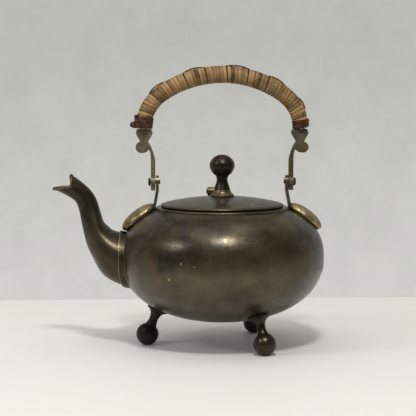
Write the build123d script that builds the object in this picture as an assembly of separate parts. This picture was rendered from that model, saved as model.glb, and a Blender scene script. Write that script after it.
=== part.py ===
from build123d import *
import os
from math import atan2, cos, degrees, hypot, pi, radians, sin, sqrt

# Small patinated brass teapot with a hinged lid and a swinging cane-bound bail.
# Millimetres, +Z up. The spout points to -X and the bail's pivots lie on X.
# The pieces are modelled round the pot's own axis and moved sideways at the end,
# so that the origin is the centre of the whole part's footprint on the table.

# Pot body: a raised brass shell of one thickness
body_radius = 66.5
widest_height = 58.0
body_depth = 42.0
body_rise = 37.6
lower_fullness = 2.2
upper_fullness = 2.4
body_wall = 1.2

# Mouth ring, the seat of the lid
mouth_outer_radius = 43.4
mouth_bore_radius = 37.3
mouth_ledge_rise = 1.3
mouth_lip_width = 2.4
mouth_lip_drop = 1.1

# Lid
lid_radius = 40.0
lid_rim_thickness = 1.6
lid_rim_width = 1.9
lid_plate_thickness = 1.1
lid_dome_rise = 4.9
lid_seat_gap = 0.35
lid_flange_gap = 1.1
lid_flange_wall = 1.0
lid_flange_depth = 4.6
lid_opening = 100.0

# Finial, a turned knob on a flared base, held by a nut under the lid
knob_radius = 8.2
knob_half_height = 7.3
knob_height = 19.9
knob_neck_radius = 3.7
knob_neck_drop = 7.9
knob_foot_radius = 5.3
finial_base_radius = 7.8
finial_base_height = 4.5
finial_groove = 0.3
stud_radius = 1.6
stud_gap = 0.05
nut_radius = 4.0
nut_thickness = 2.6

# Lid hinge at the back of the mouth
hinge_back = 43.4
hinge_height = 97.2
knuckle_radius = 2.7
knuckle_half_length = 7.2
knuckle_middle_half = 2.35
knuckle_side_gap = 0.2
hinge_pin_radius = 1.15
hinge_pin_gap = 0.05
hinge_pin_head_radius = 1.8
hinge_pin_head = 0.6
leaf_thickness = 1.1
lid_leaf_half_width = 4.8
lid_leaf_reach = 15.0
body_leaf_reach = 10.5

# Bail pivots and the ears that carry them
pivot_height = 106.9
ear_inner = 41.3
ear_thickness = 1.8
ear_half_width = 3.6
ear_above_pivot = 4.6
ear_straight_below = 5.5
ear_foot_shift = 2.7
rivet_radius = 1.35
rivet_gap = 0.05
rivet_inner_stub = 0.95
rivet_head_radius = 2.6
rivet_head_thickness = 1.5
rivet_head_gap = 0.3
pad_length = 25.4
pad_width = 19.0
pad_height = 4.4
pad_inset = 12.2
pad_lift = 0.93
pad_slope = 38.0

# Bail arms, flat brass castings with a scroll and a spade-shaped top
arm_gap = 0.45
arm_thickness = 2.8
arm_half_depth = 2.6
arm_eye_radius = 3.9
arm_foot_drop = 5.4
arm_top = 141.2
spade_half_width = 5.2
spade_height = 8.2
scroll_radius = 3.6
tang_radius = 1.3
tang_length = 5.0
bail_swing = 108.0

# Grip: rod, padding, cane winding, stringer and the bindings at its ends
grip_half_span = 51.2
grip_rise = 36.2
grip_end_bend = 28.0
rod_radius = 2.6
padding_radius = 4.0
cane_radius = 0.8
cane_gap = 0.05
cane_turns = 12
cane_end_gap = 1.3
cane_sides = 6
binding_length = 8.4
binding_radius = 5.2
binding_cord_radius = 1.1
binding_cords = 3
binding_end_gap = 0.2
stringer_radius = 0.5
stringer_gap = 0.05

# Spout and the ring soldered round its root
spout_wall = 1.2
collar_width = 1.1
collar_thickness = 3.8
strainer_hole_radius = 1.6
strainer_pitch = 5.2

# Ball feet on waisted legs
foot_ball_radius = 7.3
foot_circle = 49.0
foot_flat = 0.3
foot_neck_radius = 2.9
foot_flange_radius = 6.9
foot_flange_edge = 1.2
foot_attach_circle = 42.0
foot_angles = {"spout": 180.0, "front": -60.0, "rear": 60.0}

# Values worked out from the ones above
spout_tip_reach = 110.0
axis_shift = (spout_tip_reach - body_radius) / 2


def shoulder_height(radius):
    """Height of the pot's outline above its widest place, at a distance from the axis."""
    share = (radius / body_radius) ** upper_fullness
    return widest_height + body_rise * (1 - share) ** (1 / upper_fullness)


mouth_height = shoulder_height(mouth_outer_radius)
pad_centre_radius = body_radius - pad_inset
pad_centre_height = shoulder_height(pad_centre_radius) + pad_lift
ledge_height = mouth_height + mouth_ledge_rise
lid_bottom = ledge_height + lid_seat_gap
lid_rim_top = lid_bottom + lid_rim_thickness
lid_top = lid_rim_top + lid_dome_rise
flange_radius = mouth_bore_radius - lid_flange_gap
arm_inner = ear_inner + ear_thickness + arm_gap
arm_outer = arm_inner + arm_thickness


def body_point(turn, grow):
    """A point of the pot's outline, as (radius, height), moved outwards by grow."""
    fullness = upper_fullness if turn > 0 else lower_fullness
    reach = body_rise if turn > 0 else body_depth
    across = abs(cos(radians(turn))) ** (2 / fullness)
    along = abs(sin(radians(turn))) ** (2 / fullness)
    side = 1 if turn > 0 else -1
    slope_r = across ** (fullness - 1) / body_radius
    slope_z = side * along ** (fullness - 1) / reach
    size = hypot(slope_r, slope_z)
    r = body_radius * across + grow * slope_r / size
    z = widest_height + side * reach * along + grow * slope_z / size
    return (max(r, 0.0), z)


def body_curves(grow):
    """The outline from the bottom centre to the top, as a lower and an upper spline."""
    lower = [body_point(-90 + 90 * i / 7, grow) for i in range(8)]
    upper = [body_point(88 * i / 8, grow) for i in range(9)]
    lower[0] = (0, lower[0][1])
    return (
        Spline(*[(r, 0, z) for r, z in lower], tangents=[(1, 0, 0), (0, 0, 1)]),
        Spline(*[(r, 0, z) for r, z in upper], tangents=[(0, 0, 1), (-1, 0, 0)]),
    )


def face_from(lines):
    """A flat face inside lines that join up."""
    return make_face(Wire([edge for line in lines for edge in line.edges()]))


def turned(*edges):
    """A solid turned about the pot's axis from a closed outline in the XZ plane."""
    return revolve(face_from(edges), Axis.Z, 360)


def body_form(grow):
    """The pot's whole outer form without a mouth, grown by a distance, to cut and trim with."""
    lower, upper = body_curves(grow)
    low, high = (lower @ 0).Z, (upper @ 1).Z
    return turned(lower, upper, Polyline(upper @ 1, (0, 0, high), (0, 0, low)))


def body_shell():
    """The hollow pot, open at the mouth and drilled as a strainer behind the spout."""
    above = Pos(0, 0, mouth_height) * Cylinder(2 * body_radius, body_rise, align=BASE)
    shell = body_form(0) - body_form(-body_wall) - above
    for y, z in strainer_places():
        drill = Plane(origin=(-body_radius * 0.6, y, z), z_dir=(-1, 0, 0))
        shell -= drill * Cylinder(strainer_hole_radius, body_radius, align=BASE)
    return shell


def strainer_places():
    """Centres of the strainer holes, one in the middle and six round it."""
    places = [(0, spout_root_height)]
    for i in range(6):
        angle = radians(60 * i)
        y = strainer_pitch * cos(angle)
        places.append((y, spout_root_height + strainer_pitch * sin(angle)))
    return places


def mouth_ring():
    """The flat ledge round the mouth, with a turned-down lip that stiffens it."""
    outer, bore = mouth_outer_radius, mouth_bore_radius
    bead = mouth_ledge_rise * 0.6
    lip = mouth_height - mouth_lip_drop
    corner = [
        (outer, 0, mouth_height),
        (bore + mouth_lip_width, 0, mouth_height),
        (bore + mouth_lip_width, 0, lip),
        (bore, 0, lip),
        (bore, 0, ledge_height),
        (outer - bead, 0, ledge_height),
    ]
    middle = (outer - bead * 0.25, 0, ledge_height - bead * 0.35)
    return turned(Polyline(*corner), ThreePointArc(corner[-1], middle, corner[0]))


# Lid

def lid_arc(drop, radius):
    """The lid's dome from a radius to the axis, lowered by drop, as an arc."""
    sag = lid_dome_rise
    ball = (lid_radius**2 + sag**2) / (2 * sag)
    top = lid_top - drop
    centre = lid_top - ball

    def at(r):
        return (r, 0, centre + sqrt((ball - drop) ** 2 - r**2))

    return ThreePointArc(at(radius), at(radius / 2), (0, 0, top))


def lid_plate():
    """The domed plate with its rolled rim."""
    rim = lid_rim_thickness / 2
    inside = lid_radius - lid_rim_width
    outer = lid_arc(0, inside)
    inner = lid_arc(lid_plate_thickness, inside)
    roll_top = (lid_radius - rim, 0, lid_rim_top)
    roll_bottom = (lid_radius - rim, 0, lid_bottom)
    roll = ThreePointArc(roll_top, (lid_radius, 0, lid_bottom + rim), roll_bottom)
    foot = Polyline(roll_bottom, (inside, 0, lid_bottom), inner @ 0)
    shoulder = Line(outer @ 0, roll_top)
    plate = turned(outer, shoulder, roll, foot, inner, Line(inner @ 1, outer @ 1))
    return plate - drilled(stud_radius + stud_gap, lid_bottom, lid_top + 1)


def drilled(radius, low, high):
    """A hole or rod on the pot's axis between two heights."""
    return Pos(0, 0, low) * Cylinder(radius, high - low, align=BASE)


def lid_flange():
    """The ring under the lid that drops into the mouth."""
    tube = drilled(flange_radius, lid_bottom - lid_flange_depth, lid_top)
    tube -= drilled(flange_radius - lid_flange_wall, 0, lid_top + 1)
    return tube - lid_cut(lid_plate_thickness)


def lid_cut(drop):
    """Everything above the lid's dome, lowered by drop, to trim pieces with."""
    under = lid_arc(drop, lid_radius)
    rise = lid_top + 20
    side = Polyline(under @ 0, (lid_radius, 0, rise), (0, 0, rise), under @ 1)
    return turned(under, side)


def lid_form(grow):
    """The lid as a solid lump up to its dome, grown by a distance, to shape pieces on it."""
    over = lid_arc(-grow, lid_radius)
    return turned(over, Polyline(over @ 0, (lid_radius, 0, lid_bottom), (0, 0, lid_bottom), over @ 1))


def finial_base():
    """The flared foot of the knob, hollowed to sit on the dome."""
    low = lid_top - 1.0
    top = lid_top + finial_base_height
    flare = Spline(
        (finial_base_radius, 0, lid_top + 0.9),
        (finial_base_radius - 1.5, 0, lid_top + finial_base_height * 0.5),
        (knob_foot_radius, 0, top),
        tangents=[(-0.7, 0, 1), (-0.3, 0, 1)],
    )
    edge = Line((finial_base_radius, 0, low), flare @ 0)
    back = Polyline(flare @ 1, (0, 0, top), (0, 0, low), edge @ 0)
    base = turned(edge, flare, back)
    base -= lid_form(0)
    return base - drilled(stud_radius + stud_gap, low - 1, top + 1)


def finial_knob():
    """The ball, its neck and the stud that goes down through the lid."""
    foot = lid_top + finial_base_height + finial_groove
    centre = lid_top + knob_height
    join = sqrt(1 - (knob_foot_radius * 0.84 / knob_radius) ** 2) * knob_half_height
    ball = Spline(
        (0, 0, centre + knob_half_height),
        (knob_radius * 0.707, 0, centre + knob_half_height * 0.707),
        (knob_radius, 0, centre),
        (knob_radius * 0.707, 0, centre - knob_half_height * 0.707),
        (knob_foot_radius * 0.84, 0, centre - join),
        tangents=[(1, 0, 0), (-1, 0, -0.6)],
    )
    neck = Spline(
        ball @ 1,
        (knob_neck_radius, 0, centre - knob_neck_drop),
        (knob_foot_radius, 0, foot),
        tangents=[(-0.6, 0, -1), (0.3, 0, -1)],
    )
    sole = Polyline(
        neck @ 1, (stud_radius, 0, foot), (stud_radius, 0, nut_bottom()), (0, 0, nut_bottom())
    )
    return turned(ball, neck, sole, Line((0, 0, nut_bottom()), ball @ 0))


def nut_bottom():
    """Height of the nut's underside, inside the lid."""
    return lid_top - lid_plate_thickness - 0.2 - nut_thickness


def finial_nut():
    """The six-sided nut that clamps the knob from inside the lid."""
    blank = extrude(RegularPolygon(nut_radius, 6), nut_thickness + 1)
    nut = Pos(0, 0, nut_bottom()) * blank - lid_cut(lid_plate_thickness)
    return nut - drilled(stud_radius + stud_gap, 0, lid_top)


# Lid hinge

def hinge_rod(radius, left, right):
    """A round rod along the hinge's axis between two places on X."""
    start = Plane(origin=(left, hinge_back, hinge_height), z_dir=(1, 0, 0))
    return start * Cylinder(radius, right - left, align=BASE)


def side_plate(points, left, right):
    """A plate drawn in the YZ plane and made from one place on X to another."""
    face = make_face(Polyline(*[(left, y, z) for y, z in points], close=True))
    return extrude(face, right - left, dir=(1, 0, 0))


def lid_hinge_leaf():
    """The strap on the lid and its middle knuckle."""
    near = lid_radius - 2.6
    far = near - lid_leaf_reach
    outline = Pos(0, (near + far + lid_leaf_half_width) / 2, lid_bottom) * Box(
        2 * lid_leaf_half_width, near - far - lid_leaf_half_width, 20, align=BASE
    )
    outline += Pos(0, far + lid_leaf_half_width, lid_bottom) * Cylinder(
        lid_leaf_half_width, 20, align=BASE
    )
    strap = (outline & lid_form(leaf_thickness)) - lid_form(0)
    lean = knuckle_radius * 0.7
    tongue = side_plate(
        [
            (near - 6, lid_rim_top - 0.5),
            (near - 6, lid_rim_top + 2.6),
            (hinge_back - lean, hinge_height + lean),
            (hinge_back + lean * 0.7, hinge_height - lean * 0.7),
            (near + 1.2, lid_rim_top + 0.6),
        ],
        -knuckle_middle_half,
        knuckle_middle_half,
    )
    leaf = strap + (tongue - lid_form(0))
    leaf += hinge_rod(knuckle_radius, -knuckle_middle_half, knuckle_middle_half)
    leaf -= hinge_rod(hinge_pin_radius + hinge_pin_gap, -20, 20)
    return leaf


def body_hinge_leaf():
    """The plate soldered on the shoulder and its two outer knuckles."""
    start = mouth_outer_radius + 0.3
    width = 2 * knuckle_half_length
    plate = Pos(0, start, widest_height) * Box(
        width, body_leaf_reach, body_rise, align=(Align.CENTER, Align.MIN, Align.MIN)
    )
    leaf = plate & body_form(leaf_thickness)
    inside = knuckle_middle_half + knuckle_side_gap
    lean = knuckle_radius * 0.7
    for left, right in ((-knuckle_half_length, -inside), (inside, knuckle_half_length)):
        leaf += side_plate(
            [
                (hinge_back - knuckle_radius, hinge_height),
                (hinge_back + lean, hinge_height + lean),
                (start + 6, mouth_height - 6),
                (start, mouth_height - 6),
                (start, ledge_height + 1),
            ],
            left,
            right,
        )
        leaf += hinge_rod(knuckle_radius, left, right)
    leaf -= body_form(0)
    return leaf - hinge_rod(hinge_pin_radius + hinge_pin_gap, -20, 20)


def hinge_pin():
    """The pin with a peened head at each end."""
    half = knuckle_half_length + knuckle_side_gap
    pin = hinge_rod(hinge_pin_radius, -half, half)
    pin += hinge_rod(hinge_pin_head_radius, -half - hinge_pin_head, -half)
    return pin + hinge_rod(hinge_pin_head_radius, half, half + hinge_pin_head)


# Ears, rivets and arms are made on the right and mirrored for the left

def ear_bracket():
    """A shell-shaped pad on the shoulder and the flat post that stands on it."""
    pad = scale(Sphere(1), by=(pad_length / 2, pad_width / 2, pad_height))
    pad = Pos(pad_centre_radius, 0, pad_centre_height) * Rot(0, pad_slope, 0) * pad
    foot_in = ear_inner + ear_foot_shift
    bend = pivot_height - ear_straight_below
    base = mouth_height - 2
    face = make_face(
        Polyline(
            (ear_inner, -ear_half_width, pivot_height),
            (ear_inner, -ear_half_width, bend),
            (foot_in, -ear_half_width, base),
            (foot_in + ear_thickness, -ear_half_width, base),
            (ear_inner + ear_thickness, -ear_half_width, bend),
            (ear_inner + ear_thickness, -ear_half_width, pivot_height),
            close=True,
        )
    )
    post = extrude(face, 2 * ear_half_width, dir=(0, 1, 0))
    post += pivot_rod(ear_half_width + 0.6, ear_inner, ear_inner + ear_thickness)
    bracket = (pad + post) - body_form(0)
    bracket -= drilled(mouth_outer_radius + 0.2, 0, ledge_height + 0.2)
    return bracket - pivot_rod(rivet_radius + rivet_gap, 0, 60)


def pivot_rod(radius, inner, outer):
    """A round rod along the bail's pivot axis between two distances from the pot's axis."""
    start = Plane(origin=(inner, 0, pivot_height), z_dir=(1, 0, 0))
    return start * Cylinder(radius, outer - inner, align=BASE)


def pivot_rivet():
    """The rivet through ear and arm, with a broad head outside."""
    head = arm_outer + rivet_head_gap
    rivet = pivot_rod(rivet_radius, ear_inner - rivet_inner_stub, head)
    button = pivot_rod(rivet_head_radius, head, head + rivet_head_thickness)
    button = fillet(button.edges().sort_by(Axis.X)[-1], rivet_head_thickness * 0.6)
    return rivet + button


def bail_arm():
    """One cast arm: eye, stem, outward scroll, neck and spade."""
    centre = grip_half_span - 0.6
    neck_low = arm_top - spade_height
    scroll_x = centre + 2.0
    scroll_z = neck_low - scroll_radius
    foot = pivot_height - arm_foot_drop
    inner_bend = (arm_inner + 0.9, 0, neck_low - 8.0)
    stem_in = Line((arm_inner, 0, foot), (arm_inner, 0, neck_low - 13))
    sweep_in = Spline(
        stem_in @ 1, inner_bend, (centre - 2.4, 0, neck_low), tangents=[(0, 0, 1), (0.8, 0, 1)]
    )
    spade_in = Spline(
        sweep_in @ 1,
        (centre - spade_half_width, 0, arm_top - 1.2),
        (centre - spade_half_width + 1.0, 0, arm_top),
        tangents=[(-0.5, 0, 1), (1, 0, 0.4)],
    )
    top = Line(spade_in @ 1, (centre + spade_half_width - 1.0, 0, arm_top))
    spade_out = Spline(
        top @ 1,
        (centre + spade_half_width, 0, arm_top - 1.2),
        (centre + 2.6, 0, neck_low),
        tangents=[(1, 0, -0.4), (-0.5, 0, -1)],
    )
    curl = ThreePointArc(
        spade_out @ 1,
        (scroll_x + scroll_radius, 0, scroll_z),
        (scroll_x, 0, scroll_z - scroll_radius),
    )
    hollow = Spline(
        curl @ 1, (arm_outer + 1.6, 0, scroll_z - 1.6), (arm_outer, 0, neck_low - 13),
        tangents=[(-1, 0, 0), (0, 0, -1)],
    )
    stem_out = Line(hollow @ 1, (arm_outer, 0, foot))
    edges = (stem_in, sweep_in, spade_in, top, spade_out, curl, hollow, stem_out)
    face = face_from([*edges, Line(stem_out @ 1, stem_in @ 0)])
    arm = extrude(Pos(0, arm_half_depth, 0) * face, 2 * arm_half_depth, dir=(0, -1, 0))
    arm += pivot_rod(arm_eye_radius, arm_inner, arm_outer)
    arm += Pos(grip_half_span, 0, arm_top) * Cylinder(tang_radius, tang_length, align=BASE)
    return arm - pivot_rod(rivet_radius + rivet_gap, 0, 60)


# Grip

def arch_sizes(offset):
    """Side radius, crown radius, joint angle and crown centre of the grip's three-arc arch."""
    side = grip_end_bend
    half = grip_half_span - side
    drop = (half**2 - (grip_rise - side) ** 2) / (2 * (grip_rise - side))
    crown = grip_rise + drop
    joint = degrees(atan2(drop, half))
    return side + offset, crown + offset, joint, arm_top - drop


def arch_length():
    """Length of the grip's centre line."""
    side, crown, joint, _ = arch_sizes(0)
    return 2 * radians(joint) * side + radians(180 - 2 * joint) * crown


def arch_frame(distance):
    """Centre and outward direction of the grip's line at a distance from its right end."""
    side, crown, joint, low = arch_sizes(0)
    flank = radians(joint) * side
    total = arch_length()
    if distance < flank:
        angle, centre, radius = distance / side, (grip_half_span - side, arm_top), side
    elif distance > total - flank:
        angle = pi - (total - distance) / side
        centre, radius = (side - grip_half_span, arm_top), side
    else:
        angle = radians(joint) + (distance - flank) / crown
        centre, radius = (0, low), crown
    out = Vector(cos(angle), 0, sin(angle))
    return Vector(centre[0], 0, centre[1]) + out * radius, out


def arch_path(start, end, offset):
    """The grip's line between two distances, moved outwards by offset, as joined arcs."""
    side, crown, joint, low = arch_sizes(0)
    flank = radians(joint) * side
    total = arch_length()
    marks = sorted({start, end} | {m for m in (flank, total - flank) if start < m < end})

    def at(distance):
        centre, out = arch_frame(distance)
        return centre + out * offset

    pairs = zip(marks, marks[1:])
    return Wire([ThreePointArc(at(a), at((a + b) / 2), at(b)) for a, b in pairs])


def arch_tube(radius, start, end, offset=0.0):
    """A round bar along the grip's line."""
    path = arch_path(start, end, offset)
    section = Plane(origin=path @ 0, z_dir=path % 0) * Circle(radius)
    return sweep(section, path=path)


def bail_rod():
    """The rod inside the grip, bored at both ends for the arms' tangs."""
    rod = arch_tube(rod_radius, 0, arch_length())
    for side in (1, -1):
        socket = Cylinder(tang_radius + stud_gap, tang_length + 0.3, align=BASE)
        rod -= Pos(side * grip_half_span, 0, arm_top) * socket
    return rod


def cane_padding():
    """The cane lining that thickens the rod under the winding."""
    low, high = binding_length, arch_length() - binding_length
    return arch_tube(padding_radius, low, high) - arch_tube(rod_radius, 0, arch_length())


def winding_point(turns):
    """A point of the cane winding after a number of turns."""
    start = binding_length + cane_end_gap
    run = arch_length() - 2 * start
    centre, out = arch_frame(start + run * turns / cane_turns)
    reach = padding_radius + cane_gap + cane_radius
    angle = 2 * pi * turns
    return centre + out * (reach * cos(angle)) + Vector(0, reach * sin(angle), 0)


def biarc(start, start_way, end, end_way):
    """Two arcs that join two points and keep the direction at each."""
    gap = end - start
    both = start_way + end_way
    bend = 2 * (1 - start_way.dot(end_way))
    reach = (sqrt(gap.dot(both) ** 2 + bend * gap.dot(gap)) - gap.dot(both)) / bend
    first = start + start_way * reach
    second = end - end_way * reach
    middle = (first + second) * 0.5
    return [
        Edge.make_tangent_arc(start, start_way, middle),
        Edge.make_tangent_arc(middle, (second - first).normalized(), end),
    ]


def cane_winding():
    """The cane wound round the padding, one unbroken strand."""
    marks = [i / 2 for i in range(2 * cane_turns + 1)]
    step = 0.001
    points = [winding_point(m) for m in marks]
    ways = [(winding_point(m + step) - winding_point(m - step)).normalized() for m in marks]
    tail = 2 * cane_radius
    edges = [Line(points[0] - ways[0] * tail, points[0])]
    for i in range(len(marks) - 1):
        edges += biarc(points[i], ways[i], points[i + 1], ways[i + 1])
    edges.append(Line(points[-1], points[-1] + ways[-1] * tail))
    path = Wire(edges)
    section = RegularPolygon(cane_radius, cane_sides)
    strand = sweep(Plane(origin=path @ 0, z_dir=path % 0) * section, path=path)
    print("cane winding least gap", round(winding_gap(), 2))
    print("cane winding volume share", round(strand.volume / (section.area * path.length), 3))
    return strand


def winding_gap():
    """Least gap between neighbouring turns, measured on points."""
    per_turn = 16
    count = per_turn * cane_turns
    points = [winding_point(i / per_turn) for i in range(count + 1)]
    least = 1e9
    for i in range(count + 1):
        for j in range(i + per_turn // 2, min(i + 2 * per_turn, count + 1)):
            least = min(least, (points[i] - points[j]).length)
    return least - 2 * cane_radius


def cane_stringer():
    """The thin strand that runs along the top of the grip over the winding."""
    over = padding_radius + cane_gap + 2 * cane_radius + stringer_gap + stringer_radius
    low = binding_length + 0.4
    return arch_tube(stringer_radius, low, arch_length() - low, over)


def cane_binding():
    """The tight binding at the right end of the grip, with raised cords round it."""
    binding = arch_tube(binding_radius, 0, binding_length - binding_end_gap)
    for i in range(binding_cords):
        centre, out = arch_frame(binding_length * (i + 0.5) / binding_cords)
        way = out.cross(Vector(0, 1, 0))
        ring = Plane(origin=centre, z_dir=way) * Torus(binding_radius - 0.2, binding_cord_radius)
        binding += ring
    return binding - arch_tube(rod_radius, 0, arch_length())


# Spout: stations along it as (reach from the pot's axis, height, radius, way up in degrees)
spout_stations = [
    (54.0, 55.4, 18.6, -8.0),
    (64.0, 56.4, 17.6, -4.0),
    (74.0, 60.6, 16.0, 5.0),
    (78.6, 65.8, 13.8, 13.0),
    (82.0, 72.2, 11.6, 21.0),
    (84.2, 78.9, 9.6, 33.0),
    (85.8, 85.6, 7.7, 48.0),
    (87.4, 92.4, 6.5, 66.0),
    (90.4, 98.0, 6.2, 58.0),
    (95.0, 102.0, 6.3, 42.0),
    (100.6, 105.6, 6.6, 26.0),
    (109.4, 108.2, 6.8, 14.0),
]
spout_root_height = 54.5
spout_lip_corner = (97.8, 104.2)
spout_lip_end = (spout_tip_reach, 102.8)


def spout_form(shrink):
    """The spout's rounded form, made thinner by shrink: round sections along a curved line."""
    sections = []
    for reach, height, radius, way in spout_stations:
        out = (-cos(radians(way)), 0, sin(radians(way)))
        plane = Plane(origin=(-reach, 0, height), x_dir=(0, 1, 0), z_dir=out)
        sections.append(plane * Circle(radius - shrink))
    line = Spline(*[(-reach, 0, height) for reach, height, _, _ in spout_stations])
    return sweep(sections, path=line, multisection=True)


def spout():
    """The hollow S-shaped spout with its open beak, trimmed to the pot's side."""
    tube = spout_form(0) - spout_form(spout_wall)
    corner_x, corner_z = spout_lip_corner
    end_x, end_z = spout_lip_end
    outline = Polyline(
        (-corner_x, -30, corner_z),
        (-corner_x - 0.4, -30, corner_z + 30),
        (-end_x - 20, -30, corner_z + 30),
        (-end_x - 20, -30, end_z),
        (-end_x, -30, end_z),
        close=True,
    )
    beak = extrude(make_face(outline), 60, dir=(0, 1, 0))
    past_end = Pos(-end_x, 0, 0) * Box(
        40, 60, 300, align=(Align.MAX, Align.CENTER, Align.MIN)
    )
    return tube - beak - past_end - body_form(0)


def spout_collar():
    """The ring soldered to the pot round the root of the spout."""
    sleeve = spout_form(-collar_width) & body_form(collar_thickness)
    return sleeve - body_form(0) - spout_form(0) - spout_form(spout_wall / 2)


# Feet

def foot(angle):
    """A ball foot with a waisted leg and a flange that follows the pot's underside."""
    share = (foot_attach_circle / body_radius) ** lower_fullness
    attach = widest_height - body_depth * (1 - share) ** (1 / lower_fullness)
    ball_height = foot_ball_radius - foot_flat
    lean = degrees(atan2(foot_circle - foot_attach_circle, attach - ball_height))
    length = hypot(foot_circle - foot_attach_circle, attach - ball_height)
    flange_low = length - foot_flange_edge
    ball_join = foot_ball_radius * 0.86
    leave = sqrt(foot_ball_radius**2 - ball_join**2)
    ball = ThreePointArc((0, 0, -foot_ball_radius), (foot_ball_radius, 0, 0), (leave, 0, ball_join))
    leg = Spline(
        ball @ 1,
        (foot_neck_radius, 0, (ball_join + flange_low) / 2),
        (foot_flange_radius, 0, flange_low),
        tangents=[(-0.4, 0, 1), (1, 0, 0.35)],
    )
    above = length + 6
    rest = Polyline(leg @ 1, (foot_flange_radius, 0, above), (0, 0, above), ball @ 0)
    piece = Pos(foot_circle, 0, ball_height) * Rot(0, -lean, 0) * turned(ball, leg, rest)
    piece = Rot(0, 0, angle) * piece - body_form(0)
    return piece - Pos(0, 0, -50) * Cylinder(200, 50, align=BASE)


BASE = (Align.CENTER, Align.CENTER, Align.MIN)


def build():
    """Every piece by its name, in place round the pot's axis."""
    ear, rivet, arm, binding = ear_bracket(), pivot_rivet(), bail_arm(), cane_binding()
    pieces = {
        "body_shell": body_shell(),
        "mouth_ring": mouth_ring(),
        "spout": spout(),
        "spout_collar": spout_collar(),
        "lid_plate": lid_plate(),
        "lid_flange": lid_flange(),
        "finial_base": finial_base(),
        "finial_knob": finial_knob(),
        "finial_nut": finial_nut(),
        "lid_hinge_leaf": lid_hinge_leaf(),
        "body_hinge_leaf": body_hinge_leaf(),
        "hinge_pin": hinge_pin(),
        "ear_bracket_right": ear,
        "ear_bracket_left": mirror(ear, about=Plane.YZ),
        "pivot_rivet_right": rivet,
        "pivot_rivet_left": mirror(rivet, about=Plane.YZ),
        "bail_arm_right": arm,
        "bail_arm_left": mirror(arm, about=Plane.YZ),
        "bail_rod": bail_rod(),
        "cane_padding": cane_padding(),
        "cane_winding": cane_winding(),
        "cane_stringer": cane_stringer(),
        "cane_binding_right": binding,
        "cane_binding_left": mirror(binding, about=Plane.YZ),
    }
    for name, angle in foot_angles.items():
        pieces["foot_" + name] = foot(angle)
    return pieces


os.makedirs("parts", exist_ok=True)
for name, piece in build().items():
    export_step(Pos(axis_shift, 0, 0) * piece, os.path.join("parts", name + ".step"))
    print(name, len(piece.solids()), round(piece.volume, 1))
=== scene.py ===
# %% [markdown]
# # A brass teapot with a cane-bound bail
# The solid parts of this teapot were designed in CAD. They come in as a fixed frame of named
# nodes, and this script dresses them: it gives every metal part an aged finish, and it builds the
# wound cane of the grip, which a solid model can only hint at. Everything is in metres.

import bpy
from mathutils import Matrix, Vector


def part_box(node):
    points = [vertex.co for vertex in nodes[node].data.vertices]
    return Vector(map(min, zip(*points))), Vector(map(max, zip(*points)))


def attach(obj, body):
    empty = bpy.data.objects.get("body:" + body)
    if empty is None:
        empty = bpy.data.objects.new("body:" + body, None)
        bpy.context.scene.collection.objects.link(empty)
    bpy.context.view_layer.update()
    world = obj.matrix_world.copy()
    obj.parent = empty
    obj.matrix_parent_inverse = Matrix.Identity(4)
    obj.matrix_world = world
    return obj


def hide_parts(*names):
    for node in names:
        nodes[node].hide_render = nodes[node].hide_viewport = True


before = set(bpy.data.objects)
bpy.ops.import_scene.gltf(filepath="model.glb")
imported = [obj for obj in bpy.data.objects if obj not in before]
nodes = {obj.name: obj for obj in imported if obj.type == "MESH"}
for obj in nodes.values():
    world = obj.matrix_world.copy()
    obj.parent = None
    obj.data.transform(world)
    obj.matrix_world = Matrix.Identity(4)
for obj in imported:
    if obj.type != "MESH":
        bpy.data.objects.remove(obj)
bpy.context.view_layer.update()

# %% [markdown]
# ## Modules
# The noise of hand work comes from a seeded generator, so every run gives the same teapot.

# %% The other modules
import math
import random

import bmesh
import bpy
from mathutils import Vector

MM = 0.001
random.seed(7)
print("a millimetre is", MM, "m")

# %% [markdown]
# ## Where things are
# The spout reaches far to one side, so the pot's axis isn't the middle of the box. The body is
# round, so the middle of its own box gives the axis, and the other pieces are placed from there.

# %% The pot's axis
shell_low, shell_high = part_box("body_shell")
axis_x = (shell_low.x + shell_high.x) / 2
print("pot axis at x =", round(axis_x, 5))

# %% [markdown]
# ## Camera
# A long lens at one metre keeps the teapot's proportions calm, as in a catalogue picture. The
# camera looks slightly down, and it stands a little to the spout's side, so the right front foot
# and the one behind it don't line up.

# %% Camera
camera_data = bpy.data.cameras.new("camera")
camera_data.lens = 135
camera_data.sensor_width = 36
camera_data.clip_start = 0.05
camera_data.clip_end = 20
camera = bpy.data.objects.new("camera", camera_data)
camera.location = (-0.0405, -1.0121, 0.1846)
camera.rotation_euler = (math.radians(84.65), 0, math.radians(-3))
bpy.context.scene.collection.objects.link(camera)
bpy.context.scene.camera = camera
print("camera at", tuple(camera.location))

# %% [markdown]
# ## Helpers for shader nodes
# A material here is a tree of small nodes. These helpers add a node with its settings, a ramp, a
# mix or a sum, and join the sockets, so that each material below reads as a list of steps.

# %% Node helpers
def add(tree, kind, **values):
    """Adds a shader node and sets its properties, or its input sockets by name."""
    node = tree.nodes.new("ShaderNode" + kind)
    for key, value in values.items():
        socket = node.inputs.get(key.replace("_", " "))
        if socket is not None and not hasattr(node, key):
            socket.default_value = value
        else:
            setattr(node, key, value)
    return node


def ramp(tree, source, *stops):
    """A colour ramp over a value, with stops of (place, grey or colour)."""
    node = add(tree, "ValToRGB")
    band = node.color_ramp
    while len(band.elements) < len(stops):
        band.elements.new(0.5)
    for element, (place, colour) in zip(band.elements, stops):
        element.position = place
        grey = not isinstance(colour, tuple)
        element.color = (colour, colour, colour, 1) if grey else (*colour, 1)
    tree.links.new(source, node.inputs["Fac"])
    return node.outputs["Color"]


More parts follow.
